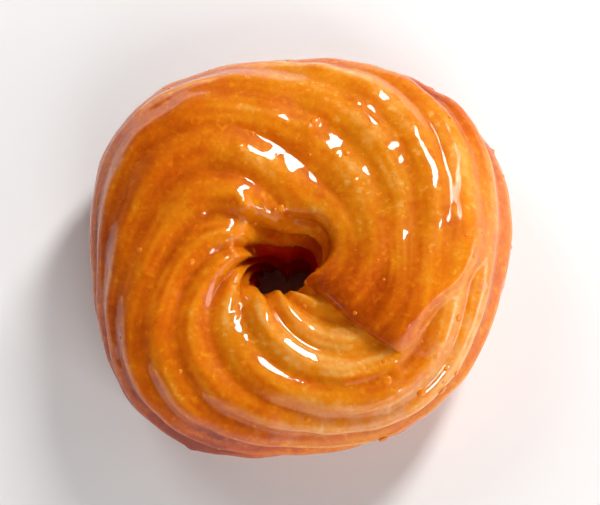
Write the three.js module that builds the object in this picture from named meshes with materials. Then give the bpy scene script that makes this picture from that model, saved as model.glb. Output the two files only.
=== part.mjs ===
// A bamieh: a ring of choux dough piped through a star nozzle, deep fried and soaked in syrup.
// The rope's cords wind slowly round it as it goes round the ring, so that each one sweeps out of
// the hole, over the top and down the rim. Where the rope closes, its swollen end laps over its start.
//
// Millimetres, +Z up. The ring lies flat with its good side up. The origin is under the middle of
// its outline, on the surface that it rests on. +X is right and -Y is towards the viewer.

import * as THREE from "three";

const { degToRad, euclideanModulo, lerp, radToDeg, smoothstep } = THREE.MathUtils;
const FULL = 2 * Math.PI;

// Driving dimensions.
const RIM_RADIUS = 34.6; // hole centre to rim, as a mean over the uneven outline
const HOLE_RADIUS = 5.3; // at the throat, as a mean over the cords' crests
const HEIGHT = 27.8; // of the rope's section, before its underside is pressed flat
const PRESSED = 1.5; // how much of that height the flat underside loses
const SQUARENESS = 2.25; // exponent of the section's outer half: 2 is an ellipse, and more is boxier
const HOLE_SQUARENESS = 4.5; // exponent of its inner half
const THROAT_BULGE = 1.8; // how far the rope's foot bulges into the hole, as a mean
const THROAT_LEAN = 2.3; // how much further it does so at the back of the ring, and less at the front
const THROAT_AT = degToRad(222); // where it bulges most round the section

// Cords, the ridges that the nozzle leaves.
const CORDS = 15; // round the rope's section
const CORD_SHIFT = 8; // how many cords the pattern has gained after one lap of the ring
const CORD_START = degToRad(12); // where the first groove lies round the section at +X
const CORD_DEPTH = 1; // crest to groove, as a mean
const CORD_ROUNDNESS = 1.35; // exponent of a crisp cord's arch
const CORD_SOFTNESS = 0.9; // what the exponent gains where the grooves have closed up
const CORD_SWAY = 0.12; // how far a groove wanders, in cord widths
const CORD_UNEVENNESS = 0.25; // how much one cord's depth differs from the next one's, as a share

// The lap: the rope's end lies over its start as a tongue, whose tip crosses the top of the ring. Its
// inner side runs into the hole, and its outer side runs slantwise down to the rim. The names that end
// in PAST count degrees round the ring from the tip.
const LAP_AT = degToRad(-44); // the tip's mean place round the ring
const LAP_SLANT = degToRad(8); // how much further on it is at the rim's side than on top
const TONGUE_SIDE = 68; // where the outer side starts round the section, in degrees
const TONGUE_DROP = 36; // how far it runs down towards the rim, in degrees
const TONGUE_DROP_PAST = [14, 66]; // where it starts to run down and where it has done so
const TONGUE_WIDTH = 11; // over how many degrees round the section the outer side rises
const TONGUE_FADING = 50; // over how many more it rises where it has run down
const TONGUE_FADING_PAST = [33, 86]; // where it starts to rise less steeply and where it is least steep
const TONGUE_INNER = [112, 166]; // where the tongue dies out inside the hole, in degrees
const LIP_HEIGHT = 2; // of the tongue, over the rope's own surface
const LIP_ROUNDING = 7; // over which its tip rounds up to that height
const LIP_RUN = 28; // over which that height dies out again
const DIP_DEPTH = 1; // of the lower end, under the rope's own surface
const DIP_RUN = 8; // over which that depth dies out
const SWOLLEN = 0.85; // share of the cords' depth that the tongue has lost
const SWOLLEN_RUN = 21; // over which the cords come back

// Unevenness: waves of [cycles, size, place of the peak in degrees], sizes in millimetres. The crown
// and the lumps are left out of the underside, so that it rests on the whole of its flat.
const RIM_WAVES = [[1, 4, 66], [2, 0.75, 60], [3, 0.9, 26], [4, 1.2, 172]];
const HOLE_WAVES = [[1, 0.45, 140], [2, 0.45, 20], [3, 0.3, 75], [4, 0.3, 150]];
const CROWN_WAVES = [[1, 0.3, 120], [2, 0.35, 250], [3, 0.25, 40]];
// Waves over the whole surface: [cycles round the section, cycles round the ring, size, peak].
const LUMP_WAVES = [[1, 2, 0.3, 40], [2, -3, 0.22, 200], [3, 4, 0.16, 310], [2, 5, 0.14, 95]];
// They let the cords run steeper in some places than in others; sizes in degrees.
const TWIST_WAVES = [
  [0, 1, 19.4, 106], [0, 2, 2.3, 14], [0, 3, 2.8, 24], [1, 0, 1.7, 19], [1, 1, 1.8, 6], [1, -1, 5.6, 358],
  [1, -2, 4.7, 9], [1, 2, 4.2, 48], [2, 0, 1.9, 268], [2, -1, 2.2, 112], [2, 1, 2, 112],
];
// Sizes as shares of a cord's depth.
const DEPTH_WAVES = [[1, 0, 0.1, 180], [2, 0, 0.2, 0], [0, 1, 0.12, 230], [1, 3, 0.1, 200]];
// Soft patches: [middle round the section, middle round the ring, spread round the section, spread
// round the ring, strength at the middle], in degrees. In the first list the grooves have closed up by
// a share of their depth, or are deeper; in the second the cords are pushed towards the hole.
const FILLED = [
  [50, 140, 32, 55, 0.5], [55, 190, 35, 40, 0.4], [105, 5, 45, 35, 0.6], [106, 100, 20, 46, -1],
  [134, 115, 14, 40, 0.35], [170, 270, 24, 100, 0.45],
];
const SHOVED = [[112, 98, 26, 46, 9], [132, 140, 22, 40, 14]];

// Mesh.
const STEPS_PER_CORD = 6; // from one groove to the next
const LAP_STATIONS = [0.4, 1.8, 4.5, 8.5, 14, 20]; // degrees past the lap's end, where its edge rounds up
const STATION_STEP = 7.5; // degrees, round the rest of the ring
const SECTION_STEPS = CORDS * STEPS_PER_CORD;
const MIDDLE_RADIUS = (RIM_RADIUS + HOLE_RADIUS) / 2;

/** Waves round one angle, at that angle. */
function waves(list, angle) {
  const wave = ([cycles, size, peak]) => size * Math.cos(cycles * angle - degToRad(peak));
  return list.reduce((sum, item) => sum + wave(item), 0);
}

/** Waves over the surface, at one place round the section and one place round the ring. */
function surfaceWaves(list, round, turn) {
  const wave = ([a, b, size, peak]) => size * Math.cos(a * round + b * turn - degToRad(peak));
  return list.reduce((sum, item) => sum + wave(item), 0);
}

/** How many laps it takes to come out one cord further on, since the cords are one endless strand. */
function lapsPerCord() {
  let laps = 1;
  while ((laps * CORD_SHIFT) % CORDS !== 1) {
    laps += 1;
  }
  return laps;
}
const LAPS_PER_CORD = lapsPerCord();

/** A slow, uneven sway between about -1 and 1 that each cord has for itself. */
function sway(cord, turn, peak) {
  const laps = euclideanModulo(-cord * LAPS_PER_CORD, CORDS) + turn / FULL;
  const along = (FULL * laps) / CORDS;
  const slow = 0.5 * Math.sin(7 * along + peak);
  const quick = 0.35 * Math.sin(16 * along + 2.3 * peak) + 0.25 * Math.sin(29 * along + 4.1 * peak);
  return slow + quick;
}

/** x to the power e, keeping its sign. */
function signedPower(x, e) {
  return Math.sign(x) * Math.abs(x) ** e;
}

/** How strong one soft patch is at a place round the section and a place round the ring. */
function patchAt([middleRound, middleTurn, wide, long, strength], round, turn) {
  const away = (angle, middle) => euclideanModulo(radToDeg(angle) - middle + 180, 360) - 180;
  const across = away(round, middleRound) / wide;
  const along = away(turn, middleTurn) / long;
  return strength * Math.exp(-(across ** 2) - along ** 2);
}

/** The place round the section that a groove has at one place round the ring, before it sways. */
function groovePlace(groove, turn) {
  return CORD_START + (FULL * groove - CORD_SHIFT * turn) / CORDS;
}

/**
 * A point's places round the section and round the ring. Round the section, 0 is the rim, 90 degrees
 * the top and 180 the hole. A station is slanted as the lap's end is, so that one of them lies on it.
 */
function surfacePlace(cord, across, station) {
  let round = groovePlace(cord + across, station);
  let turn = station;
  for (let pass = 0; pass < 24; pass += 1) {
    turn = station + LAP_SLANT * Math.cos(round);
    const drift = lerp(sway(cord, turn, 0.4), sway(cord + 1, turn, 0.4), across) * CORD_SWAY;
    const even = groovePlace(cord + across + drift, turn);
    const shoved = SHOVED.reduce((sum, patch) => sum + patchAt(patch, even, turn), 0);
    round = even + degToRad(surfaceWaves(TWIST_WAVES, even, turn) + shoved);
  }
  return { round, turn };
}

/** How far the grooves have closed up at one place, from 0 to 1; less than 0 where they are deeper. */
function fullness(place) {
  return 1 - FILLED.reduce((left, patch) => left * (1 - patchAt(patch, place.round, place.turn)), 1);
}

/**
 * How much a place belongs to the tongue, from 0 to 1. Its place round the ring is counted from the
 * side of the tip that it is on.
 */
function tongueShare(round, turn) {
  const place = radToDeg(euclideanModulo(round + Math.PI / 2, FULL)) - 90;
  const past = radToDeg(turn - LAP_AT);
  const side = TONGUE_SIDE - TONGUE_DROP * smoothstep(past, ...TONGUE_DROP_PAST);
  const width = TONGUE_WIDTH + TONGUE_FADING * smoothstep(past, ...TONGUE_FADING_PAST);
  return smoothstep((place - side) / width, 0, 1) * (1 - smoothstep(place, ...TONGUE_INNER));
}

/** How far a cord's surface lies under its crest. */
function cordSink(cord, across, place, swollen) {
  const full = fullness(place);
  const arch = Math.sin(Math.PI * across) ** (CORD_ROUNDNESS + CORD_SOFTNESS * Math.max(full, 0));
  const own = 1 + CORD_UNEVENNESS * sway(cord, place.turn, 2.9);
  const local = (1 + surfaceWaves(DEPTH_WAVES, place.round, place.turn)) * (1 - full);
  return CORD_DEPTH * own * local * (1 - SWOLLEN * swollen) * (1 - arch);
}

/** The smooth rope that the crests touch: how far out and how high it is, and which way it faces. */
function ropePoint({ round, turn }) {
  const [cos, sin] = [Math.cos(round), Math.sin(round)];
  const rim = RIM_RADIUS + waves(RIM_WAVES, turn);
  const hole = HOLE_RADIUS + waves(HOLE_WAVES, turn);
  const halfWidth = (rim - hole) / 2;
  const halfHeight = HEIGHT / 2 + Math.max(sin, 0) * waves(CROWN_WAVES, turn);
  const squareness = cos > 0 ? SQUARENESS : HOLE_SQUARENESS;
  const corner = (Math.abs(cos) ** squareness + Math.abs(sin) ** squareness) ** (1 / squareness);
  const [out, up] = [cos / corner, sin / corner];
  const foot = Math.max(Math.cos(round - THROAT_AT), 0) ** 4;
  const bulge = (THROAT_BULGE + THROAT_LEAN * Math.sin(turn)) * foot;
  const facing = new THREE.Vector2(
    signedPower(out, squareness - 1) / halfWidth,
    signedPower(up, squareness - 1) / halfHeight,
  );
  return { reach: hole + halfWidth * (1 + out) - bulge, height: halfHeight * up, facing: facing.normalize() };
}

/** How far the lap, the grooves and the lumps raise the surface over the smooth rope. */
function relief(cord, across, place, beyond) {
  const past = beyond * MIDDLE_RADIUS;
  const before = (FULL - beyond) * MIDDLE_RADIUS;
  const share = tongueShare(place.round, beyond > Math.PI ? place.turn - FULL : place.turn);
  const edge = Math.sqrt(1 - (1 - Math.min(past / LIP_ROUNDING, 1)) ** 2);
  const lip = LIP_HEIGHT * share * edge * Math.exp(-((past / LIP_RUN) ** 2));
  const dip = DIP_DEPTH * share * Math.exp(-before / DIP_RUN);
  const sink = cordSink(cord, across, place, share * Math.exp(-((past / SWOLLEN_RUN) ** 2)));
  const upper = smoothstep(Math.sin(place.round), -1, -0.2);
  return lip - dip - sink + upper * surfaceWaves(LUMP_WAVES, place.round, place.turn);
}

/** A point of the surface, measured from the hole's centre at the section's mid height. */
function surfacePoint(cord, across, station, beyond) {
  const place = surfacePlace(cord, across, station);
  const rope = ropePoint(place);
  const lift = relief(cord, across, place, beyond);
  const reach = rope.reach + rope.facing.x * lift;
  const height = rope.height + rope.facing.y * lift;
  return new THREE.Vector3(reach * Math.cos(place.turn), reach * Math.sin(place.turn), height);
}

/** How far each station is past the lap's end, in radians; the first and last lie on either side of it. */
function stationAngles() {
  const angles = [0, ...LAP_STATIONS];
  const from = Math.ceil((LAP_STATIONS.at(-1) + 1) / STATION_STEP) * STATION_STEP;
  for (let angle = from; angle < 360; angle += STATION_STEP) {
    angles.push(angle);
  }
  angles.push(359.3);
  return angles.map(degToRad);
}
const STATIONS = stationAngles();

/** The ring's vertices, station by station, in the part's own frame. */
function ringPoints() {
  const points = [];
  for (const beyond of STATIONS) {
    for (let step = 0; step < SECTION_STEPS; step += 1) {
      const cord = Math.floor(step / STEPS_PER_CORD);
      const across = (step % STEPS_PER_CORD) / STEPS_PER_CORD;
      points.push(surfacePoint(cord, across, LAP_AT + beyond, beyond));
    }
  }
  const box = new THREE.Box3().setFromPoints(points);
  const middle = box.getCenter(new THREE.Vector3());
  const floor = box.min.z + PRESSED;
  return points.map((p) => new THREE.Vector3(p.x - middle.x, p.y - middle.y, Math.max(p.z - floor, 0)));
}

/** The ring's triangles. The last station joins the first one a whole number of cords further on. */
function ringTriangles() {
  const triangles = [];
  const index = (station, step) => {
    const lap = Math.floor(station / STATIONS.length);
    const shifted = euclideanModulo(step - lap * CORD_SHIFT * STEPS_PER_CORD, SECTION_STEPS);
    return (station % STATIONS.length) * SECTION_STEPS + shifted;
  };
  for (let station = 0; station < STATIONS.length; station += 1) {
    for (let step = 0; step < SECTION_STEPS; step += 1) {
      const a = index(station, step);
      const b = index(station + 1, step);
      const c = index(station + 1, step + 1);
      const d = index(station, step + 1);
      triangles.push(a, b, c, a, c, d);
    }
  }
  return triangles;
}

/** The dough, one closed solid. */
function doughRing() {
  const geometry = new THREE.BufferGeometry().setFromPoints(ringPoints());
  geometry.setIndex(ringTriangles());
  geometry.computeVertexNormals();
  const fried = new THREE.MeshStandardMaterial({ color: 0xd2720e, roughness: 0.2, metalness: 0 });
  const ring = new THREE.Mesh(geometry, fried);
  ring.name = "dough_ring";
  return ring;
}

const bamieh = new THREE.Group();
bamieh.add(doughRing());

export default bamieh;
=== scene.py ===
"""A bamieh: a ring of choux dough piped through a star nozzle, deep fried and soaked in syrup.

The ring's cords are the ridges that the nozzle leaves. They wind slowly round the rope as it goes
round the ring, so that each one sweeps out of the hole, over the top and down the rim. Where the
rope closes, its swollen end laps over its start.

A place on the surface has two angles. "around" runs round the rope's section: 0 is the rim, a
quarter turn is the top and half a turn is the hole. "turn" runs round the ring from +X, as seen
from above. Shapes are worked out in millimetres and laid into the CAD ring's box in metres.
"""

import logging
import math
from dataclasses import dataclass, field
from enum import Enum

import bpy
import numpy as np
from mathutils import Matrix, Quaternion, Vector


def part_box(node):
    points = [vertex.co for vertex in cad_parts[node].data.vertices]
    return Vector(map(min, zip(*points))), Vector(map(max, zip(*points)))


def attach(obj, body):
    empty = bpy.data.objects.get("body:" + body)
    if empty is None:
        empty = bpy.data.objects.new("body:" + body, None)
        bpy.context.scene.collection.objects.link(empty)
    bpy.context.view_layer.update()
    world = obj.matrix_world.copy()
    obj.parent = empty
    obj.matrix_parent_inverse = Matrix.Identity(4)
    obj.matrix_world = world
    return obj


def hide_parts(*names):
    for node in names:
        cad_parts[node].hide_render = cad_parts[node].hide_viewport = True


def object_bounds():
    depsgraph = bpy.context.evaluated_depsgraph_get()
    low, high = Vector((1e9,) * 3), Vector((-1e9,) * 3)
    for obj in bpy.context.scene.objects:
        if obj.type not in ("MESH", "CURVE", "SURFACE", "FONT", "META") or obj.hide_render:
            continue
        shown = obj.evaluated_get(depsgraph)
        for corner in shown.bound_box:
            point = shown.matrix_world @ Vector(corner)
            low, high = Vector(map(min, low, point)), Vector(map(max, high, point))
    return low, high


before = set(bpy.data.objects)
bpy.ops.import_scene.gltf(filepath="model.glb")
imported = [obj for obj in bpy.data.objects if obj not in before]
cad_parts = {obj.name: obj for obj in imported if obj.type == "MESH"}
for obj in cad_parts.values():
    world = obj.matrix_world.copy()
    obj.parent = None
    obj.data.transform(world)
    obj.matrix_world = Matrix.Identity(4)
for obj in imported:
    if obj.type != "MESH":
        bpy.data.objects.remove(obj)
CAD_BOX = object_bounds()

FULL = 2 * math.pi
METRES = 0.001
COUNTED_ANGLES = 7201
NOISE_ROUGHNESS = 0.55
# What each random draw starts from, and the peaks that set one slow sway apart from the next.
SHIVER_SEED, STREAK_SEED, BLISTER_SEED, BEAD_SEED = 41, 17, 7, 23
DRIFT_SWAY, DEPTH_SWAY, SCORING_SWAY = 0.4, 2.9, 5.1
Colour = tuple[float, float, float, float]
log = logging.getLogger("bamieh")


class Slot(Enum):
    """The material slots."""

    FRIED_DOUGH = "fried_dough"
    SYRUP = "syrup"


def linear(code: str) -> Colour:
    """Turns a display colour into the linear colour that shaders take.

    Args:
        code: The colour as six hexadecimal digits.

    Returns:
        Red, green, blue and an alpha of 1.
    """
    parts = [int(code[i:i + 2], 16) / 255 for i in (0, 2, 4)]
    red, green, blue = (p / 12.92 if p <= 0.04045 else ((p + 0.055) / 1.055) ** 2.4 for p in parts)
    return red, green, blue, 1.0


def smooth(value: np.ndarray, low: float, high: float) -> np.ndarray:
    """Rises smoothly from 0 at low to 1 at high."""
    share = np.clip((value - low) / (high - low), 0, 1)
    return share * share * (3 - 2 * share)


def signed_power(value: np.ndarray, exponent: float) -> np.ndarray:
    """Raises a size to a power and keeps its sign."""
    return np.sign(value) * np.abs(value) ** exponent


def mesh_piece(name: str, points: np.ndarray, faces: np.ndarray | list,
               finish: bpy.types.Material) -> bpy.types.Object:
    """Makes a smooth mesh object from points in metres.

    Args:
        name: The piece's name.
        points: One row of x, y and z for each vertex.
        faces: Each face's vertex numbers.
        finish: The material that the whole piece wears.

    Returns:
        The new object, linked to the scene.
    """
    mesh = bpy.data.meshes.new(name)
    mesh.from_pydata(points.tolist(), [], [list(face) for face in faces])
    mesh.materials.append(finish)
    mesh.shade_smooth()
    mesh.update()
    piece = bpy.data.objects.new(name, mesh)
    bpy.context.scene.collection.objects.link(piece)
    return piece


@dataclass(frozen=True)
class Wave:
    """A cosine wave over the surface.

    Attributes:
        rounds: Whole cycles round the section.
        turns: Whole cycles round the ring.
        size: The wave's height over its mean.
        peak: Where its first peak is, in degrees.
    """

    rounds: int
    turns: int
    size: float
    peak: float

    def at(self, around: np.ndarray, turn: np.ndarray) -> np.ndarray:
        """The wave's height at these places."""
        return self.size * np.cos(self.rounds * around + self.turns * turn - math.radians(self.peak))


def total(waves: list[Wave], around: np.ndarray | float, turn: np.ndarray) -> np.ndarray:
    """Adds up several waves at the same places."""
    return sum(wave.at(around, turn) for wave in waves)


@dataclass(frozen=True)
class Patch:
    """A soft-edged patch of the surface.

    Attributes:
        around: Its middle's place round the section, in degrees.
        turn: Its middle's place round the ring, in degrees.
        wide: How far it spreads round the section, in degrees.
        long: How far it spreads round the ring, in degrees.
        share: How strong it is at its middle.
    """

    around: float
    turn: float
    wide: float
    long: float
    share: float

    def at(self, around: np.ndarray, turn: np.ndarray) -> np.ndarray:
        """Tells how strong the patch is.

        Args:
            around: Places round the section.
            turn: Places round the ring.

        Returns:
            Its strength at each place.
        """
        across = (np.degrees(around) - self.around + 180) % 360 - 180
        along = (np.degrees(turn) - self.turn + 180) % 360 - 180
        return self.share * np.exp(-((across / self.wide) ** 2) - (along / self.long) ** 2)


def covered(patches: list[Patch], around: np.ndarray, turn: np.ndarray) -> np.ndarray:
    """How far patches cover these places together, up to 1; less than 0 where they do the reverse."""
    return 1 - np.prod([1 - patch.at(around, turn) for patch in patches], axis=0)


@dataclass(frozen=True)
class Ripple:
    """A smooth random unevenness in space, made of crossing waves.

    Attributes:
        length: The middle wavelength, in millimetres.
        seed: Picks this ripple among all others.
        count: How many waves cross.
    """

    length: float
    seed: int
    count: int = 28

    def at(self, points: np.ndarray) -> np.ndarray:
        """Tells how high the ripple is.

        Args:
            points: Points in millimetres, one row each.

        Returns:
            Its height at each point, mostly between -1 and 1.
        """
        draw = np.random.default_rng(self.seed)
        headings = draw.normal(size=(self.count, 3))
        headings /= np.linalg.norm(headings, axis=1, keepdims=True)
        lengths = self.length * draw.uniform(0.7, 1.45, self.count)
        phases = draw.uniform(0, FULL, self.count)
        swing = points @ (headings * (FULL / lengths)[:, None]).T + phases
        return np.cos(swing).sum(axis=-1) * math.sqrt(2 / self.count) / 2


@dataclass
class Cords:
    """The nozzle's ridges, which are one endless strand wound round the rope.

    Attributes:
        count: Cords round the section.
        shift: How many cords the pattern has gained after one lap of the ring.
        start: Where the first groove lies round the section at +X, in degrees.
        depth: Crest to groove, as a mean.
        roundness: The exponent of a crisp cord's arch.
        softness: What the exponent gains where the grooves have closed up.
        drift: How far a groove wanders, in cord widths.
        unevenness: How much one cord's depth differs from the next one's, as a share.
        scoring: Depth of the fine lines along a cord.
        tearing: How much a crest's height varies along it, as a share of the depth.
        sways: The slow sway's waves: size, cycles along the strand, and how the peak moves them.
        shivers: How many waves make up the trembling along a cord.
        shiver_cycles: The least and most cycles that they have along the strand.
        shiver_lean: How far they lean across a cord at most, in radians.
        lines: How many waves make up the fine lines along a cord.
        line_cycles: The least and most cycles that they have along the strand.
        line_slope: How steeply they fade into the grooves.
        twist: Waves that wind the cords tighter or looser, in degrees.
        depth_waves: Waves that deepen or fill the grooves, as shares of the depth.
        filled: Places where the grooves have closed up.
        shoved: Places where the cords are pushed towards the hole, in degrees.
    """

    count: int = 15
    shift: int = 8
    start: float = 12
    depth: float = 1.0
    roundness: float = 1.35
    softness: float = 0.9
    drift: float = 0.12
    unevenness: float = 0.25
    scoring: float = 0.07
    tearing: float = 0.025
    sways: tuple[tuple[float, int, float], ...] = ((0.5, 7, 1), (0.35, 16, 2.3), (0.25, 29, 4.1))
    shivers: int = 14
    shiver_cycles: tuple[int, int] = (230, 620)
    shiver_lean: float = 2
    lines: int = 16
    line_cycles: tuple[int, int] = (20, 190)
    line_slope: float = 2.2
    twist: list[Wave] = field(default_factory=lambda: [
        Wave(0, 1, 19.4, 106), Wave(0, 2, 2.3, 14), Wave(0, 3, 2.8, 24), Wave(1, 0, 1.7, 19),
        Wave(1, 1, 1.8, 6), Wave(1, -1, 5.6, 358), Wave(1, -2, 4.7, 9), Wave(1, 2, 4.2, 48),
        Wave(2, 0, 1.9, 268), Wave(2, -1, 2.2, 112), Wave(2, 1, 2, 112)])
    depth_waves: list[Wave] = field(default_factory=lambda: [
        Wave(1, 0, 0.1, 180), Wave(2, 0, 0.2, 0), Wave(0, 1, 0.12, 230), Wave(1, 3, 0.1, 200)])
    filled: list[Patch] = field(default_factory=lambda: [
        Patch(50, 140, 32, 55, 0.6), Patch(55, 190, 35, 40, 0.5), Patch(105, 5, 45, 35, 0.6),
        Patch(106, 100, 20, 46, -1.0), Patch(134, 115, 14, 40, 0.35),
        Patch(170, 270, 24, 100, 0.45)])
    shoved: list[Patch] = field(default_factory=lambda: [
        Patch(112, 98, 26, 46, 9), Patch(132, 140, 22, 40, 14)])

    def along(self, cord: np.ndarray, turn: np.ndarray) -> np.ndarray:
        """Tells how far along the endless strand a place is.

        Args:
            cord: The cord's number at this place round the ring.
            turn: The place round the ring, in radians.

        Returns:
            The share of the strand's length, in radians of a full turn.
        """
        laps_per_cord = pow(self.shift, -1, self.count)
        laps = np.mod(-cord * laps_per_cord, self.count) + turn / FULL
        return FULL * laps / self.count

    def sway(self, cord: np.ndarray, turn: np.ndarray, peak: float) -> np.ndarray:
        """A slow, uneven sway between about -1 and 1 that each cord has for itself."""
        along = self.along(cord, turn)
        return sum(size * np.sin(cycles * along + shift * peak) for size, cycles, shift in self.sways)

    def shiver(self, cord: np.ndarray, across: np.ndarray, turn: np.ndarray) -> np.ndarray:
        """A quick, uneven trembling along each cord.

        Args:
            cord: Each place's cord number.
            across: How far across its cord it is, from 0 to 1.
            turn: Places round the ring.

        Returns:
            Its size at each place, mostly between -1 and 1.
        """
        draw = np.random.default_rng(SHIVER_SEED)
        along = self.along(cord, turn)
        trembling = 0
        for _ in range(self.shivers):
            cycles, phase = draw.integers(*self.shiver_cycles), draw.uniform(0, FULL)
            lean = draw.uniform(-self.shiver_lean, self.shiver_lean)
            trembling = trembling + np.cos(cycles * along + phase + lean * across)
        return trembling / math.sqrt(self.shivers)

    def streaks(self, cord: np.ndarray, across: np.ndarray, turn: np.ndarray) -> np.ndarray:
        """Fine lines that run along each cord and fade into its grooves.

        Args:
            cord: Each place's cord number.
            across: How far across its cord it is, from 0 to 1.
            turn: Places round the ring.

        Returns:
            How light or dark they are at each place, mostly between -1 and 1.
        """
        draw = np.random.default_rng(STREAK_SEED)
        along = self.along(cord, turn)
        lines = 0
        for _ in range(self.lines):
            cycles = draw.integers(*self.line_cycles)
            lean = draw.choice([1, 2, 3, 4]) * draw.choice([-1, 1])
            lines = lines + np.cos(cycles * along + lean * FULL * across + draw.uniform(0, FULL))
        return lines / math.sqrt(self.lines) * np.minimum(1, self.line_slope * np.sin(math.pi * across))

    def groove_place(self, groove: np.ndarray | float, turn: np.ndarray) -> np.ndarray:
        """The place round the section that a groove has, before it drifts."""
        return math.radians(self.start) + (FULL * groove - self.shift * turn) / self.count

    def wound(self, even: np.ndarray, turn: np.ndarray) -> np.ndarray:
        """Where a place on evenly wound cords really lies round the section."""
        return even + np.radians(total(self.twist, even, turn) + sum(p.at(even, turn) for p in self.shoved))

    def fullness(self, around: np.ndarray, turn: np.ndarray) -> np.ndarray:
        """How far the grooves have closed up, from 0 to 1; less than 0 where they are deeper."""
        return covered(self.filled, around, turn)

    def arch(self, across: np.ndarray, fullness: np.ndarray) -> np.ndarray:
        """A cord's own outline from one groove to the next, from 0 to 1."""
        return np.sin(math.pi * across) ** (self.roundness + self.softness * np.maximum(fullness, 0))

    def local_depth(self, cord: np.ndarray, around: np.ndarray, turn: np.ndarray) -> np.ndarray:
        """How deep the grooves are at these places.

        Args:
            cord: Each place's cord number.
            around: Places round the section.
            turn: Places round the ring.

        Returns:
            Crest to groove, in millimetres.
        """
        usual = self.depth * (1 + total(self.depth_waves, around, turn))
        uneven = 1 + self.unevenness * self.sway(cord, turn, DEPTH_SWAY)
        return usual * uneven * (1 - self.fullness(around, turn))

    def scored(self, cord: np.ndarray, across: np.ndarray, turn: np.ndarray, arch: np.ndarray) -> np.ndarray:
        """How far three fine lines along each cord stand up."""
        lines = 1 - np.abs(np.cos(1.5 * FULL * across))
        return self.scoring * arch * lines * (1 + self.sway(cord, turn, SCORING_SWAY)) / 2


@dataclass
class Lap:
    """Where the rope's swollen end lies over its start, as a tongue.

    The tongue's tip crosses the top of the ring. Its inner side runs into the hole, and its outer
    side runs slantwise down to the rim.

    Attributes:
        at: The end's mean place round the ring, in degrees.
        slant: How many degrees further on it is at the rim's side than on top.
        tip: Where its outer side starts round the section, in degrees.
        drop: How far that side runs down towards the rim, in degrees.
        drop_from: How far past the end it starts to run down, in degrees.
        drop_to: How far past the end it has run down.
        side_width: Over how many degrees round the section that side rises at the tip.
        side_fading: Over how many more degrees it rises where it has faded out.
        fade_from: How far past the end it starts to fade out, in degrees.
        fade_to: How far past the end it has faded out.
        inner_from: Where the tongue starts to die out inside the hole, in degrees.
        inner_to: Where it has died out.
        lip: Height of the tongue over the rope's own surface.
        rounding: The length over which its tip rounds up to that height.
        run: The length over which that height dies out again.
        dip: Depth of the lower end under the rope's own surface.
        dip_run: The length over which the dip dies out.
        swollen: Share of the cords' depth that the tongue has lost.
        swollen_run: The length over which the cords come back.
        seam_shade_width: The length over which the painted shade at the tongue's end fades out.
    """

    at: float = -44
    slant: float = 8
    tip: float = 68
    drop: float = 36
    drop_from: float = 14
    drop_to: float = 66
    side_width: float = 11
    side_fading: float = 50
    fade_from: float = 33
    fade_to: float = 85.8
    inner_from: float = 112
    inner_to: float = 166
    lip: float = 2.0
    rounding: float = 7
    run: float = 28
    dip: float = 1.0
    dip_run: float = 8
    swollen: float = 0.85
    swollen_run: float = 21
    seam_shade_width: float = 8

    def share(self, around: np.ndarray, turn: np.ndarray) -> np.ndarray:
        """Tells how much a place belongs to the tongue.

        Args:
            around: The place round the section.
            turn: The place round the ring, counted from the side of the end that it is on.

        Returns:
            From 0 outside the tongue to 1 within it.
        """
        place = np.degrees(np.mod(around + math.pi / 2, FULL)) - 90
        past = np.degrees(turn) - self.at
        side = self.tip - self.drop * smooth(past, self.drop_from, self.drop_to)
        width = self.side_width + self.side_fading * smooth(past, self.fade_from, self.fade_to)
        inner = smooth(place, self.inner_from, self.inner_to)
        return smooth((place - side) / width, 0, 1) * (1 - inner)

    def lift(self, share: np.ndarray, past: np.ndarray, before: np.ndarray) -> np.ndarray:
        """How far the lap raises the surface.

        Args:
            share: How much each place belongs to the tongue.
            past: How far it is past the end, in millimetres.
            before: How far it is before the end.

        Returns:
            The rise in millimetres; less than 0 just before the end.
        """
        edge = np.sqrt(1 - (1 - np.minimum(past / self.rounding, 1)) ** 2)
        rise = self.lip * edge * np.exp(-((past / self.run) ** 2))
        return share * (rise - self.dip * np.exp(-before / self.dip_run))


@dataclass(frozen=True)
class Blister:
    """A small bubble under the skin.

    Attributes:
        around: Its place round the section, in degrees.
        turn: Its place round the ring, in degrees.
        radius: Half its width.
        height: How far it stands up.
    """

    around: float
    turn: float
    radius: float
    height: float


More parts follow.
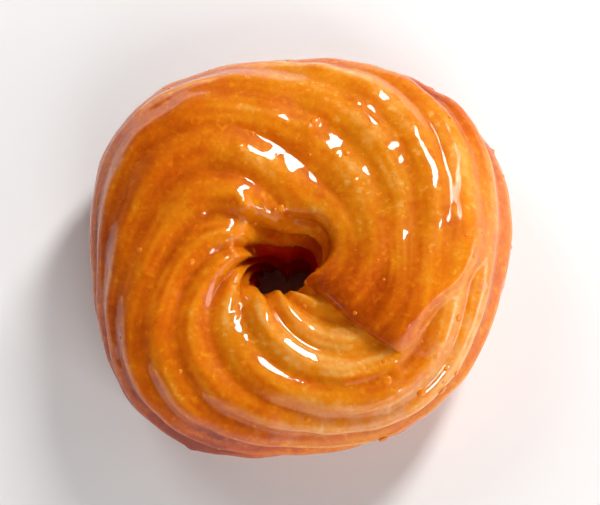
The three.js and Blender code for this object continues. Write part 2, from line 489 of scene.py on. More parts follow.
@dataclass
class DoughRing:
    """The ring of dough, in millimetres.

    Attributes:
        rim: Hole centre to rim, as a mean over the uneven outline.
        hole: Hole centre to the throat, as a mean over the cords' crests.
        height: Height of the section before its underside is pressed flat.
        pressed: How much of that height the flat underside loses.
        squareness: The exponent of the section's outer half: 2 is an ellipse, and more is boxier.
        hole_squareness: The exponent of its inner half.
        throat: How far the rope's foot bulges into the hole, as a mean.
        throat_lean: How much further it does so at the back of the ring, and less at the front.
        throat_at: Where it bulges most round the section, in degrees.
        throat_focus: The exponent that gathers the bulge round that place.
        cords: The ridges.
        lap: The seam.
        rim_waves: Unevenness of the outline.
        hole_waves: Unevenness of the hole.
        crown_waves: Unevenness of the top.
        lumps: Unevenness of the whole surface.
        ripples: Random unevenness of the whole surface, with the height of each.
        lumpy: Between which heights of the section lumps and blisters fade in, as sines.
        browning_and_shade: Where the crust is darker, or paler where less than 0: partly frying, partly
            painted shade and painted light from the lamps.
        soaked: Places where the glaze has sunk into the crust, so that it shines less.
        rim_sheen: Places along the rim painted with a pale pink sheen that stands in for the white floor's
            reflection.
        deep_down: How far down the section the painted red glow on the hole's deep wall fades in, as sines.
        deep_inward: How far towards the hole it fades in, as cosines.
        big_blisters: The blisters that stand out.
        steps_per_cord: Mesh points across one cord.
        stations: Mesh sections round the ring.
        crowding: How many more sections there are at the lap's end, as a share of the usual number.
        crowded: Within how many degrees of that end they are.
        last_gap: The gap from the last section to the first one, as a share of the usual gap.
        settling: How many times a point's place is worked out anew, until it stays put.
        blister_count: Small blisters scattered over the skin.
        blister_least: The smallest one's radius.
        blister_gain: How much larger the largest one's is.
        blister_rarity: The exponent that makes large ones rare.
        blister_places: From where to where round the section they are scattered, in degrees.
        blister_slopes: The least and most height of one, as a share of its radius.
    """

    rim: float = 34.6
    hole: float = 5.3
    height: float = 27.8
    pressed: float = 1.5
    squareness: float = 2.25
    hole_squareness: float = 4.5
    throat: float = 1.8
    throat_lean: float = 2.3
    throat_at: float = 222
    throat_focus: int = 4
    cords: Cords = field(default_factory=Cords)
    lap: Lap = field(default_factory=Lap)
    rim_waves: list[Wave] = field(default_factory=lambda: [
        Wave(0, 1, 4, 66), Wave(0, 2, 0.75, 60), Wave(0, 3, 0.9, 26), Wave(0, 4, 1.2, 172)])
    hole_waves: list[Wave] = field(default_factory=lambda: [
        Wave(0, 1, 0.45, 140), Wave(0, 2, 0.45, 20), Wave(0, 3, 0.3, 75), Wave(0, 4, 0.3, 150)])
    crown_waves: list[Wave] = field(default_factory=lambda: [
        Wave(0, 1, 0.3, 120), Wave(0, 2, 0.35, 250), Wave(0, 3, 0.25, 40)])
    lumps: list[Wave] = field(default_factory=lambda: [
        Wave(1, 2, 0.3, 40), Wave(2, -3, 0.22, 200), Wave(3, 4, 0.16, 310), Wave(2, 5, 0.14, 95)])
    ripples: tuple[tuple[Ripple, float], ...] = ((Ripple(9, 3), 0.25), (Ripple(3.5, 4), 0.03))
    lumpy: tuple[float, float] = (-1, -0.2)
    # Painted shade: (150, -15) and (108, -20) darken the hole's right wall and the tongue beside it, (10,
    # 235) and (2, -122) the rim's left front. Painted light: (15, -78) and (45, 75) lighten the rim where the
    # lamps and the floor light it.
    browning_and_shade: list[Patch] = field(default_factory=lambda: [
        Patch(150, -15, 30, 50, 0.3), Patch(108, -20, 34, 30, 0.22), Patch(45, 75, 26, 50, -0.2),
        Patch(45, 20, 26, 26, -0.08), Patch(10, 235, 35, 42, 0.14), Patch(15, -78, 32, 40, -0.16),
        Patch(105, -64, 26, 22, -0.14), Patch(2, -122, 22, 26, 0.3), Patch(36, -44, 14, 22, -0.2),
        Patch(46, -20, 13, 24, -0.04), Patch(80, -52, 13, 16, -0.12), Patch(80, -14, 14, 20, -0.12),
        Patch(24, 46, 14, 16, 0.26)])
    soaked: list[Patch] = field(default_factory=lambda: [
        Patch(48, 39, 8, 10, 0.95), Patch(57, 29, 8, 10, 0.9), Patch(66, 17, 8, 11, 0.9),
        Patch(24, 46, 15, 20, 0.6)])
    # Painted sheen along the rim, where the white floor's reflection falls.
    rim_sheen: list[Patch] = field(default_factory=lambda: [
        Patch(41, -12, 12, 14, 0.2), Patch(52, -34, 10, 12, 0.25), Patch(36, -50, 12, 22, 0.35),
        Patch(34, -80, 12, 22, 0.3)])
    deep_down: tuple[float, float] = (-0.42, 0.1)
    deep_inward: tuple[float, float] = (0, 0.6)
    big_blisters: tuple[Blister, ...] = (
        Blister(88, 80, 1.3, 0.42), Blister(101, 64, 0.8, 0.22), Blister(100, 113, 1.4, 0.45),
        Blister(128, 131, 1.7, 0.95), Blister(129, 113, 0.8, 0.45), Blister(132, 103, 0.7, 0.4),
        Blister(134, 93, 0.9, 0.55), Blister(131, 173, 1.3, 0.7), Blister(141, 162, 0.9, 0.5),
        Blister(58, 11, 0.9, 0.25), Blister(62, -47, 1.3, 0.35), Blister(51, -34, 0.8, 0.25),
        Blister(101, 39, 0.9, 0.25), Blister(85, 271, 0.6, 0.18), Blister(77, 281, 0.6, 0.18),
        Blister(72, 287, 0.7, 0.22), Blister(69, 295, 0.6, 0.2), Blister(125, 198, 0.9, 0.25),
        Blister(48, 41, 0.7, 0.2), Blister(9, 41, 0.8, 0.55), Blister(16, 37, 0.6, 0.3),
        Blister(5, 31, 0.7, 0.35), Blister(12, 24, 0.6, 0.3), Blister(3, 14, 0.7, 0.4),
        Blister(8, 6, 0.9, 0.5), Blister(2, -4, 0.6, 0.35), Blister(14, 52, 0.7, 0.35))
    steps_per_cord: int = 16
    stations: int = 400
    crowding: float = 3
    crowded: float = 7
    last_gap: float = 0.15
    settling: int = 24
    blister_count: int = 120
    blister_least: float = 0.35
    blister_gain: float = 0.75
    blister_rarity: float = 2.2
    blister_places: tuple[float, float] = (-60, 200)
    blister_slopes: tuple[float, float] = (0.16, 0.34)

    def station_angles(self) -> np.ndarray:
        """Spaces out the mesh's sections, which crowd together near the lap's end.

        Returns:
            How far each one is past that end, in radians.
        """
        fine = np.linspace(0, 360, COUNTED_ANGLES)
        away = np.minimum(fine, 360 - fine)
        counted = np.cumsum(1 + self.crowding * np.exp(-((away / self.crowded) ** 2)))
        counted = (counted - counted[0]) / (counted[-1] - counted[0])
        last = 1 - self.last_gap / self.stations
        return np.radians(np.interp(np.linspace(0, last, self.stations), counted, fine))

    def places(self, cord: np.ndarray, across: np.ndarray,
               station: np.ndarray) -> tuple[np.ndarray, np.ndarray]:
        """Finds where points of the cords lie.

        A station is slanted as the lap's end is, so that one of them lies on it.

        Args:
            cord: Each point's cord number.
            across: How far across its cord it is, from 0 to 1.
            station: Its station's angle.

        Returns:
            The places round the section and round the ring.
        """
        cords = self.cords
        around = cords.groove_place(cord + across, station)
        turn = station
        for _ in range(self.settling):
            turn = station + math.radians(self.lap.slant) * np.cos(around)
            here, there = cords.sway(cord, turn, DRIFT_SWAY), cords.sway(cord + 1, turn, DRIFT_SWAY)
            drift = (here + (there - here) * across) * cords.drift
            even = cords.groove_place(cord + across + drift, turn)
            around = cords.wound(even, turn)
        return around, turn

    def envelope(self, around: np.ndarray, turn: np.ndarray) -> tuple[np.ndarray, np.ndarray]:
        """The smooth rope that the cords' crests touch.

        Args:
            around: Places round the section.
            turn: Places round the ring.

        Returns:
            Points, and the directions in which the surface faces there.
        """
        rim = self.rim + total(self.rim_waves, 0, turn)
        hole = self.hole + total(self.hole_waves, 0, turn)
        half_width = (rim - hole) / 2
        half_height = self.height / 2 + np.maximum(np.sin(around), 0) * total(self.crown_waves, 0, turn)
        exponent = np.where(np.cos(around) > 0, self.squareness, self.hole_squareness)
        size = (np.abs(np.cos(around)) ** exponent + np.abs(np.sin(around)) ** exponent) ** (1 / exponent)
        out, up = np.cos(around) / size, np.sin(around) / size
        foot = np.maximum(np.cos(around - math.radians(self.throat_at)), 0) ** self.throat_focus
        bulge = (self.throat + self.throat_lean * np.sin(turn)) * foot
        reach = hole + half_width + out * half_width - bulge
        out_facing = signed_power(out, exponent - 1) / half_width
        up_facing = signed_power(up, exponent - 1) / half_height
        size = np.hypot(out_facing, up_facing)
        up = up * half_height
        points = np.stack([reach * np.cos(turn), reach * np.sin(turn), up], axis=-1)
        facing = np.stack([out_facing * np.cos(turn), out_facing * np.sin(turn), up_facing], axis=-1)
        return points, facing / size[..., None]

    def blisters(self) -> list[Blister]:
        """Scatters small blisters, mostly over the upper side.

        Returns:
            The big blisters and the small ones.
        """
        draw = np.random.default_rng(BLISTER_SEED)
        found = list(self.big_blisters)
        for _ in range(self.blister_count):
            radius = self.blister_least + self.blister_gain * draw.random() ** self.blister_rarity
            around, turn = draw.uniform(*self.blister_places), draw.uniform(0, 360)
            found.append(Blister(around, turn, radius, radius * draw.uniform(*self.blister_slopes)))
        return found

    def blister_relief(self, points: np.ndarray) -> np.ndarray:
        """How far blisters raise the skin.

        Args:
            points: Points of the smooth rope.

        Returns:
            The rise at each point, in millimetres.
        """
        relief = np.zeros(len(points))
        for blister in self.blisters():
            centre, _ = self.envelope(np.radians([blister.around]), np.radians([blister.turn]))
            near = np.flatnonzero(np.abs(points - centre).max(axis=1) < blister.radius)
            share = np.linalg.norm(points[near] - centre, axis=1) / blister.radius
            relief[near] += blister.height * np.maximum(1 - share ** 2, 0) ** 1.5
        return relief

    def grid(self) -> tuple[np.ndarray, np.ndarray, np.ndarray]:
        """Lays out the skin's points station by station.

        Returns:
            Each point's cord number, how far across its cord it is from 0 to 1, and how far past the
            lap's end its station is.
        """
        step = np.arange(self.cords.count * self.steps_per_cord)
        beyond, step = (grid.ravel() for grid in np.meshgrid(self.station_angles(), step, indexing="ij"))
        return step // self.steps_per_cord, (step % self.steps_per_cord) / self.steps_per_cord, beyond

    def lumpiness(self, points: np.ndarray, around: np.ndarray, turn: np.ndarray) -> np.ndarray:
        """How far lumps and blisters raise the skin. They die out towards the underside.

        Args:
            points: Points of the smooth rope.
            around: Places round the section.
            turn: Places round the ring.

        Returns:
            The rise at each point, in millimetres.
        """
        loose = sum(height * ripple.at(points) for ripple, height in self.ripples)
        raised = total(self.lumps, around, turn) + loose + self.blister_relief(points)
        return smooth(np.sin(around), *self.lumpy) * raised

    def place_masks(self, around: np.ndarray, turn: np.ndarray) -> dict[str, np.ndarray]:
        """Works out the masks that follow from a point's place alone.

        Args:
            around: Places round the section.
            turn: Places round the ring.

        Returns:
            Each mask's values, under its name.
        """
        down, inward = -np.sin(around), -np.cos(around)
        return {
            # The browned patches hold painted shade and painted light as well as frying.
            "browning_and_shade": sum(patch.at(around, turn) for patch in self.browning_and_shade),
            "soaked": covered(self.soaked, around, turn),
            # Where the rim gets its painted sheen.
            "rim_sheen": covered(self.rim_sheen, around, turn),
            # Where the hole's deep wall gets its painted red glow.
            "deep": smooth(down, *self.deep_down) * smooth(inward, *self.deep_inward),
            "outward": -inward, "upward": -down, "turn_x": np.cos(turn), "turn_y": np.sin(turn)}

    def surface(self) -> tuple[np.ndarray, dict[str, np.ndarray]]:
        """Works out every point of the ring's skin.

        Returns:
            The points station by station, and the masks that the finish reads.
        """
        cords, lap = self.cords, self.lap
        cord, across, beyond = self.grid()
        around, turn = self.places(cord, across, math.radians(lap.at) + beyond)
        points, facing = self.envelope(around, turn)

        middle = (self.rim + self.hole) / 2
        past, before = beyond * middle, (FULL - beyond) * middle
        share = lap.share(around, np.where(beyond > math.pi, turn - FULL, turn))
        swollen = lap.swollen * share * np.exp(-((past / lap.swollen_run) ** 2))

        arch = cords.arch(across, cords.fullness(around, turn))
        depth = cords.local_depth(cord, around, turn)
        sink = depth * (1 - swollen) * (1 - arch)
        torn = cords.tearing * depth * arch * cords.shiver(cord, across, turn)
        relief = lap.lift(share, past, before) - sink + torn + cords.scored(cord, across, turn, arch)
        relief += self.lumpiness(points, around, turn)

        masks = self.place_masks(around, turn)
        # crest lightens the crests and groove darkens the grooves, partly as painted highlight and painted
        # shade.
        masks |= {"crest": arch, "groove": sink / cords.depth, "streak": cords.streaks(cord, across, turn),
                  # seam is painted shade at the tongue's end.
                  "seam": share * np.exp(-past / lap.seam_shade_width)}
        return points + facing * relief[:, None], masks

    def faces(self) -> np.ndarray:
        """Joins the points. The last station meets the first one a whole number of cords further on.

        Returns:
            The four vertices of each face.
        """
        rows = self.cords.count * self.steps_per_cord
        station, step = np.meshgrid(np.arange(self.stations), np.arange(rows), indexing="ij")

        def number(lap_station: np.ndarray, lap_step: np.ndarray) -> np.ndarray:
            """The vertex at a station and a step, wherever the count has gone round."""
            gained = lap_station // self.stations * self.cords.shift * self.steps_per_cord
            return lap_station % self.stations * rows + (lap_step - gained) % rows

        corners = [number(station, step), number(station + 1, step),
                   number(station + 1, step + 1), number(station, step + 1)]
        return np.stack([corner.ravel() for corner in corners], axis=1)

    def laid_in(self, points: np.ndarray, low: Vector, high: Vector) -> np.ndarray:
        """Presses the underside flat and lays the ring into its box.

        Args:
            points: The ring's points in millimetres.
            low: The box's lowest corner in metres.
            high: The box's highest corner in metres.

        Returns:
            The points in metres.
        """
        floor = points[:, 2].min() + self.pressed
        points = points.copy()
        points[:, 2] = np.maximum(points[:, 2], floor)
        least, most = points.min(axis=0), points.max(axis=0)
        return np.array(low) + (points - least) / (most - least) * (np.array(high) - np.array(low))

    def build(self, finish: bpy.types.Material) -> tuple[bpy.types.Object, dict[str, np.ndarray]]:
        """Makes the ring in place of the CAD's coarse one.

        Args:
            finish: The fried dough's material.

        Returns:
            The ring, riding on the object's only body, and its masks.
        """
        points, masks = self.surface()
        ring = mesh_piece("piped_ring", self.laid_in(points, *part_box("dough_ring")), self.faces(), finish)
        for name, values in masks.items():
            mask = ring.data.attributes.new(name, "FLOAT", "POINT")
            mask.data.foreach_set("value", values.astype(np.float32))
        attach(ring, "root")
        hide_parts("dough_ring")
        return ring, masks


@dataclass
class SyrupBeads:
    """Beads of syrup that stand on the crust, all in one piece.

    Attributes:
        placed: The beads that stand out: place round the section, place round the ring, radius.
        scattered: How many small ones are strewn over the upper side.
        least: The smallest strewn radius, in millimetres.
        most: The largest strewn radius.
        rarity: The exponent that makes large ones rare.
        strewn_above: From how far up the section they are strewn, as a sine.
        stretches: How far one side of a bead is drawn out, least and most, as a share of its radius.
        slopes: The least and most height of one, as a share of its radius.
        rings: Rings of points from a bead's foot to its top.
        spokes: Points in each ring.
        sunk: How far a bead's foot goes under the crust, in millimetres.
        sunk_focus: The exponent that keeps the rest of the bead above it.
    """

    placed: tuple[tuple[float, float, float], ...] = (
        (84, 78, 0.9), (99, 60, 0.55), (52, -20, 0.6), (38, -45, 0.8), (26, -39, 0.9), (30, -33, 0.6),
        (60, -52, 0.7), (54, 220, 0.4), (60, 224, 0.35), (66, 228, 0.4), (15, -52, 0.7), (4, 300, 0.8))
    scattered: int = 46
    least: float = 0.22
    most: float = 0.62
    rarity: float = 2.5
    strewn_above: float = 0.1
    stretches: tuple[float, float] = (1, 1.5)
    slopes: tuple[float, float] = (0.38, 0.55)
    rings: int = 6
    spokes: int = 14
    sunk: float = 0.1
    sunk_focus: int = 6

    def dome(self, foot: Vector, facing: Vector, radius: float, draw: np.random.Generator) -> np.ndarray:
        """One bead's points.

        Args:
            foot: Where it stands, in metres.
            facing: The crust's direction there.
            radius: Half its width in millimetres.
            draw: Where its unevenness comes from.

        Returns:
            The top first, and then ring after ring down to the foot, which is sunk into the crust.
        """
        side = facing.orthogonal().normalized()
        other = facing.cross(side)
        stretch, lean = draw.uniform(*self.stretches), draw.uniform(0, math.pi)
        height = radius * draw.uniform(*self.slopes)
        points = [foot + facing * (height * METRES)]
        for ring in range(1, self.rings + 1):
            slope = ring / self.rings * math.pi / 2
            for spoke in range(self.spokes):
                turn = FULL * spoke / self.spokes
                wide = radius * math.sin(slope) * (stretch if math.cos(turn) > 0 else 1)
                across = math.cos(turn) * wide * side + math.sin(turn) * radius * math.sin(slope) * other
                across.rotate(Quaternion(facing, lean))
                up = height * math.cos(slope) - self.sunk * (ring / self.rings) ** self.sunk_focus
                points.append(foot + (across + facing * up) * METRES)
        return np.array(points)

    def dome_faces(self, first: int) -> list[tuple[int, ...]]:
        """Joins one bead's points.

        Args:
            first: The number of its top.

        Returns:
            Each face's vertex numbers.
        """
        faces = []
        for spoke in range(self.spokes):
            after = (spoke + 1) % self.spokes
            faces.append((first, first + 1 + spoke, first + 1 + after))
            for ring in range(1, self.rings):
                inner, outer = first + 1 + (ring - 1) * self.spokes, first + 1 + ring * self.spokes
                faces.append((inner + spoke, outer + spoke, outer + after, inner + after))
        last = first + 1 + (self.rings - 1) * self.spokes
        return faces + [tuple(range(last + self.spokes - 1, last - 1, -1))]

    def spots(self, masks: dict[str, np.ndarray], draw: np.random.Generator) -> list[tuple[int, float]]:
        """Finds where the beads stand.

        Args:
            masks: The ring's masks, which hold each point's places.
            draw: Where the strewn ones come from.

        Returns:
            Each bead's point of the ring and its radius.
        """
        place = np.stack([masks["outward"], masks["upward"], masks["turn_x"], masks["turn_y"]], axis=1)
        found = []
        for around, turn, radius in self.placed:
            a, t = math.radians(around), math.radians(turn)
            nearness = place @ [math.cos(a), math.sin(a), math.cos(t), math.sin(t)]
            found.append((int(np.argmax(nearness)), radius))
        upper = np.flatnonzero(masks["upward"] > self.strewn_above)
        for _ in range(self.scattered):
            radius = self.least + (self.most - self.least) * draw.random() ** self.rarity
            found.append((int(draw.choice(upper)), radius))
        return found

    def build(self, ring: bpy.types.Object, masks: dict[str, np.ndarray],
              finish: bpy.types.Material) -> bpy.types.Object:
        """Makes the beads on the ring.

        Args:
            ring: The ring that they stand on.
            masks: Its masks.
            finish: The syrup's material.

        Returns:
            The beads.
        """
        draw = np.random.default_rng(BEAD_SEED)
        points, faces = [], []
        for number, radius in self.spots(masks, draw):
            foot = ring.data.vertices[number]
            faces += self.dome_faces(sum(len(dome) for dome in points))
            points.append(self.dome(foot.co, foot.normal, radius, draw))
        beads = mesh_piece("syrup_beads", np.concatenate(points), faces, finish)
        beads.visible_shadow = False
        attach(beads, "root")
        return beads


class Nodes:
    """A short way to lay out a material's nodes."""

    def __init__(self, tree: bpy.types.NodeTree) -> None:
        """Starts from an existing node tree."""
        self.tree = tree

    def add(self, kind: str, **settings: object) -> bpy.types.Node:
        """Adds a node.

        Args:
            kind: The node's Blender type, without its ShaderNode prefix.
            settings: Its properties, or its inputs' values under their names with _ for each space.

        Returns:
            The node.
        """
        node = self.tree.nodes.new(f"ShaderNode{kind}")
        for name, value in settings.items():
            if name in node.bl_rna.properties:
                setattr(node, name, value)
            else:
                self.put(node.inputs[name.replace("_", " ")], value)
        return node

    def put(self, socket: bpy.types.NodeSocket, value: object) -> None:
        """Fills a socket.

        Args:
            socket: An input.
            value: Its value, or another socket to link it to.
        """
        if isinstance(value, bpy.types.NodeSocket):
            self.tree.links.new(value, socket)
        else:
            socket.default_value = value

    def mask(self, name: str) -> bpy.types.NodeSocket:
        """One of the mesh's own masks."""
        return self.add("Attribute", attribute_name=name).outputs["Fac"]

    def sum(self, *terms: tuple[object, float], start: float = 0) -> bpy.types.NodeSocket:
        """Adds weighted values.

        Args:
            terms: Pairs of a value's socket and its weight.
            start: What the sum starts from.

        Returns:
            The sum's socket.
        """
        value: object = start
        for socket, weight in terms:
            node = self.add("Math", operation="MULTIPLY_ADD")
            for entry, item in zip(node.inputs, (socket, weight, value)):
                self.put(entry, item)
            value = node.outputs[0]
        return value

    def ramp(self, value: bpy.types.NodeSocket, stops: list[tuple[float, Colour]]) -> bpy.types.NodeSocket:
        """Colours a value.

        Args:
            value: The value's socket.
            stops: Pairs of a place from 0 to 1 and its colour.

        Returns:
            The colour's socket.
        """
        node = self.add("ValToRGB", Fac=value)
        elements = node.color_ramp.elements
        while len(elements) < len(stops):
            elements.new(0.5)
        for element, (place, colour) in zip(elements, stops):
            element.position, element.color = place, colour
        return node.outputs["Color"]

    def mix(self, share: object, first: object, second: object) -> bpy.types.NodeSocket:
        """Mixes two colours.

        Args:
            share: The share of the second one.
            first: The first one.
            second: The second one.

        Returns:
            The mixture's socket.
        """
        node = self.add("Mix", data_type="RGBA")
        for entry, item in zip((node.inputs[0], node.inputs[6], node.inputs[7]), (share, first, second)):
            self.put(entry, item)
        return node.outputs[2]


def new_material(name: str) -> tuple[bpy.types.Material, Nodes, bpy.types.Node]:
    """Starts a material with its one Principled BSDF.

    Args:
        name: The material's name.

    Returns:
        The material, its nodes and the shader.
    """
    material = bpy.data.materials.new(name)
    material.use_nodes = True
    nodes = Nodes(material.node_tree)
    return material, nodes, material.node_tree.nodes["Principled BSDF"]


def mottle_group() -> bpy.types.NodeTree:
    """Builds the shared mottling: a soft, uneven pattern that keeps its size in millimetres.

    Returns:
        A node group with Size, Detail, Low and High in, and a Value from 0 to 1 out.
    """
    tree = bpy.data.node_groups.new("Mottle", "ShaderNodeTree")
    for name, default in (("Size", 2.0), ("Detail", 3.0), ("Low", 0.35), ("High", 0.65)):
        tree.interface.new_socket(name, in_out="INPUT", socket_type="NodeSocketFloat").default_value = default
    tree.interface.new_socket("Value", in_out="OUTPUT", socket_type="NodeSocketFloat")
    nodes = Nodes(tree)
    given = tree.nodes.new("NodeGroupInput").outputs
    place = nodes.add("TexCoord").outputs["Object"]
    scale = nodes.add("Math", operation="DIVIDE")
    nodes.put(scale.inputs[0], 1 / METRES)
    nodes.put(scale.inputs[1], given["Size"])
    noise = nodes.add("TexNoise", Vector=place, Scale=scale.outputs[0], Detail=given["Detail"],
                      Roughness=NOISE_ROUGHNESS)
    spread = nodes.add("MapRange", Value=noise.outputs["Fac"], From_Min=given["Low"], From_Max=given["High"])
    result = tree.nodes.new("NodeGroupOutput")
    nodes.put(result.inputs["Value"], spread.outputs["Result"])
    return tree


def mottle(nodes: Nodes, size: float, detail: float = 3, low: float = 0.35,
           high: float = 0.65) -> bpy.types.NodeSocket:
    """Places the shared mottling in a material.

    Args:
        nodes: The material's nodes.
        size: How large its spots are, in millimetres.
        detail: How many finer patterns are laid over them.
        low: The noise that counts as 0.
        high: The noise that counts as 1.

    Returns:
        The socket of its value from 0 to 1.
    """
    group = nodes.add("Group", node_tree=bpy.data.node_groups["Mottle"])
    for name, value in (("Size", size), ("Detail", detail), ("Low", low), ("High", high)):
        group.inputs[name].default_value = value
    return group.outputs["Value"]


@dataclass(frozen=True)
class FriedDough:
    """Deep-fried choux dough under a wet syrup glaze.

    Attributes:
        deep: A painted red glow on the hole's deep wall, in place of the light that comes through the dough
            into the shaded hole.
        dark: The deepest grooves, partly as painted shade, and the brownest spots.
        brown: Browned flanks.
        orange: The usual crust.
        gold: The crests, partly as painted highlight.
        pale: The palest dough, near the hole.
        sheen_tint: The painted sheen along the rim: a pale pink that stands in for the white floor's
            reflection.
        lightness: How light the dough is before the masks and mottling move it: 0 is dark, and 1 is pale.
        masks: What each of the ring's masks adds to that, painted light and shade among them.
        mottling: What each mottling adds: its size, detail, low and high, and its weight.
        stops: Where the colours from dark to pale lie on that scale.
        broken: The mottling that breaks up the painted sheen.
        translucency: Share of light that wanders through the crumb.
        crumb_reach: How far red, green and blue light wander, as shares of the reach.
        reach: How far red light wanders, in metres.
        crust_roughness: The bare crust's roughness.
        crust_index: The crust's index of refraction.
        crust_shine: How much the crust shines under its glaze.
        bumps: The skin's fine bumps: the mottling and the share of each.
        bumpiness: Their strength.
        bump_depth: Their depth in metres.
        glaze_roughness: The syrup's own roughness.
        glaze_index: The syrup's index of refraction.
    """

    deep: str = "c8180c"
    dark: str = "8a2c02"
    brown: str = "b34a02"
    orange: str = "d06606"
    gold: str = "de850e"
    pale: str = "e8a751"
    sheen_tint: str = "dca888"
    lightness: float = 0.33
    # Painted light and shade among these: turn_x and turn_y make the front right paler and the back left
    # darker; crest and groove are partly painted highlight and shade; seam is painted shade; the browned
    # patches hold painted shade and light as well as frying.
    masks: tuple[tuple[str, float], ...] = (
        ("crest", 0.1), ("groove", -0.1), ("outward", -0.12), ("upward", 0.06), ("turn_x", 0.095),
        ("turn_y", -0.03), ("streak", 0.06), ("seam", -0.44), ("browning_and_shade", -1))
    mottling: tuple[tuple[tuple[float, ...], float], ...] = (
        ((14, 3, 0.35, 0.65), 0.18), ((3.2, 3, 0.35, 0.65), 0.12), ((0.9, 2, 0.35, 0.65), 0.08),
        ((1.3, 2, 0.58, 0.68), 0.13))
    stops: tuple[float, ...] = (0.08, 0.28, 0.5, 0.72, 0.95)
    broken: tuple[float, ...] = (2.4, 3, 0.4, 0.6)
    translucency: float = 0.5
    crumb_reach: tuple[float, float, float] = (1.0, 0.35, 0.12)
    reach: float = 0.004
    crust_roughness: float = 0.42
    crust_index: float = 1.45
    crust_shine: float = 0.06
    bumps: tuple[tuple[tuple[float, ...], float], ...] = (
        ((1.1, 3, 0.2, 0.8), 0.6), ((0.35, 2, 0.2, 0.8), 0.25))
    bumpiness: float = 0.35
    bump_depth: float = 0.0002
    glaze_roughness: float = 0.035
    glaze_index: float = 1.48

    def crust(self, nodes: Nodes) -> bpy.types.NodeSocket:
        """Lays out the colour of the crust.

        Args:
            nodes: The material's nodes.

        Returns:
            The colour's socket.
        """
        # The scale adds the crust's own tone to painted light and shade from the masks.
        masked = [(nodes.mask(name), weight) for name, weight in self.masks]
        mottled = [(mottle(nodes, *pattern), weight) for pattern, weight in self.mottling]
        tone_and_shade = nodes.sum(*masked, *mottled, start=self.lightness)
        codes = (self.dark, self.brown, self.orange, self.gold, self.pale)
        colour = nodes.ramp(tone_and_shade, [(stop, linear(code)) for stop, code in zip(self.stops, codes)])
        # Painted glow: the hole's deep wall turns red, as if lit through the dough.
        colour = nodes.mix(nodes.mask("deep"), colour, linear(self.deep))
        # Painted reflection: a pale pink sheen mixed in along the rim.
        rim_sheen = nodes.add("Math", operation="MULTIPLY")
        nodes.put(rim_sheen.inputs[0], nodes.mask("rim_sheen"))
        nodes.put(rim_sheen.inputs[1], mottle(nodes, *self.broken))
        return nodes.mix(rim_sheen.outputs[0], colour, linear(self.sheen_tint))

    def material(self) -> bpy.types.Material:
        """Builds the material.

        Returns:
            The material, which reads the ring's own masks.
        """
        material, nodes, shader = new_material("fried_dough")
        nodes.put(shader.inputs["Base Color"], self.crust(nodes))
        skin = nodes.sum(*[(mottle(nodes, *pattern), weight) for pattern, weight in self.bumps])
        bump = nodes.add("Bump", Height=skin, Strength=self.bumpiness, Distance=self.bump_depth)
        nodes.put(shader.inputs["Normal"], bump.outputs["Normal"])
        shader.inputs["Roughness"].default_value = self.crust_roughness
        shader.inputs["IOR"].default_value = self.crust_index
        shader.inputs["Specular IOR Level"].default_value = self.crust_shine
        shader.inputs["Subsurface Weight"].default_value = self.translucency
        shader.inputs["Subsurface Radius"].default_value = self.crumb_reach
        shader.inputs["Subsurface Scale"].default_value = self.reach
        nodes.put(shader.inputs["Coat Weight"], nodes.sum((nodes.mask("soaked"), -1), start=1))
        shader.inputs["Coat Roughness"].default_value = self.glaze_roughness
        shader.inputs["Coat IOR"].default_value = self.glaze_index
        return material


@dataclass(frozen=True)
class Syrup:
    """Clear amber sugar syrup.

    Attributes:
        amber: Its usual colour.
        deep_amber: Its colour where it is thicker.
        spots: How large those spots are, in millimetres.
        clearness: Share of light that passes through.
        roughness: Its roughness.
        index: Its index of refraction.
    """

    amber: str = "e8951a"
    deep_amber: str = "d87c10"
    spots: float = 1.5
    clearness: float = 0.3
    roughness: float = 0.02
    index: float = 1.48

    def material(self) -> bpy.types.Material:
        """Builds the material.

        Returns:
            The material of the beads.
        """
        material, nodes, shader = new_material("syrup")
        depth = nodes.mix(mottle(nodes, self.spots), linear(self.amber), linear(self.deep_amber))
        nodes.put(shader.inputs["Base Color"], depth)
        shader.inputs["Roughness"].default_value = self.roughness
        shader.inputs["IOR"].default_value = self.index
        shader.inputs["Transmission Weight"].default_value = self.clearness
        return material


@dataclass(frozen=True)
class PaleFloor:
    """A plain, matt, nearly white floor that runs into the backdrop.

    Attributes:
        colour: Its usual colour.
        cloud: Its colour where it is a shade darker.
        clouds: How large those clouds are, in millimetres.
        cloudiness: How far their middles turn to that colour, as a share.
        lit: How far out the lamps light it, in metres.
        far: Where it is as bright as the backdrop of itself.
        glow: How bright it is there.
        roughness: Its roughness.
    """

    colour: str = "f1efee"
    cloud: str = "ecebea"
    clouds: float = 60
    cloudiness: float = 0.5
    lit: float = 0.06
    far: float = 0.55
    glow: float = 0.9
    roughness: float = 0.8

    def material(self) -> bpy.types.Material:
        """Builds the material.

        Returns:
            The material, whose glow grows with the distance from the ring.
        """
        material, nodes, shader = new_material("pale_floor")
        clouded = nodes.sum((mottle(nodes, self.clouds), self.cloudiness))
        shade = nodes.mix(clouded, linear(self.colour), linear(self.cloud))
        nodes.put(shader.inputs["Base Color"], shade)
        far = nodes.add("VectorMath", operation="LENGTH", Vector=nodes.add("TexCoord").outputs["Object"])
        glow = nodes.add("MapRange", interpolation_type="SMOOTHSTEP", Value=far.outputs["Value"],
                         From_Min=self.lit, From_Max=self.far)
        nodes.put(shader.inputs["Emission Color"],
                  nodes.mix(glow.outputs["Result"], (0, 0, 0, 1), linear(self.colour)))
        shader.inputs["Emission Strength"].default_value = self.glow
        shader.inputs["Roughness"].default_value = self.roughness
        shader.inputs["Specular IOR Level"].default_value = 0
        return material


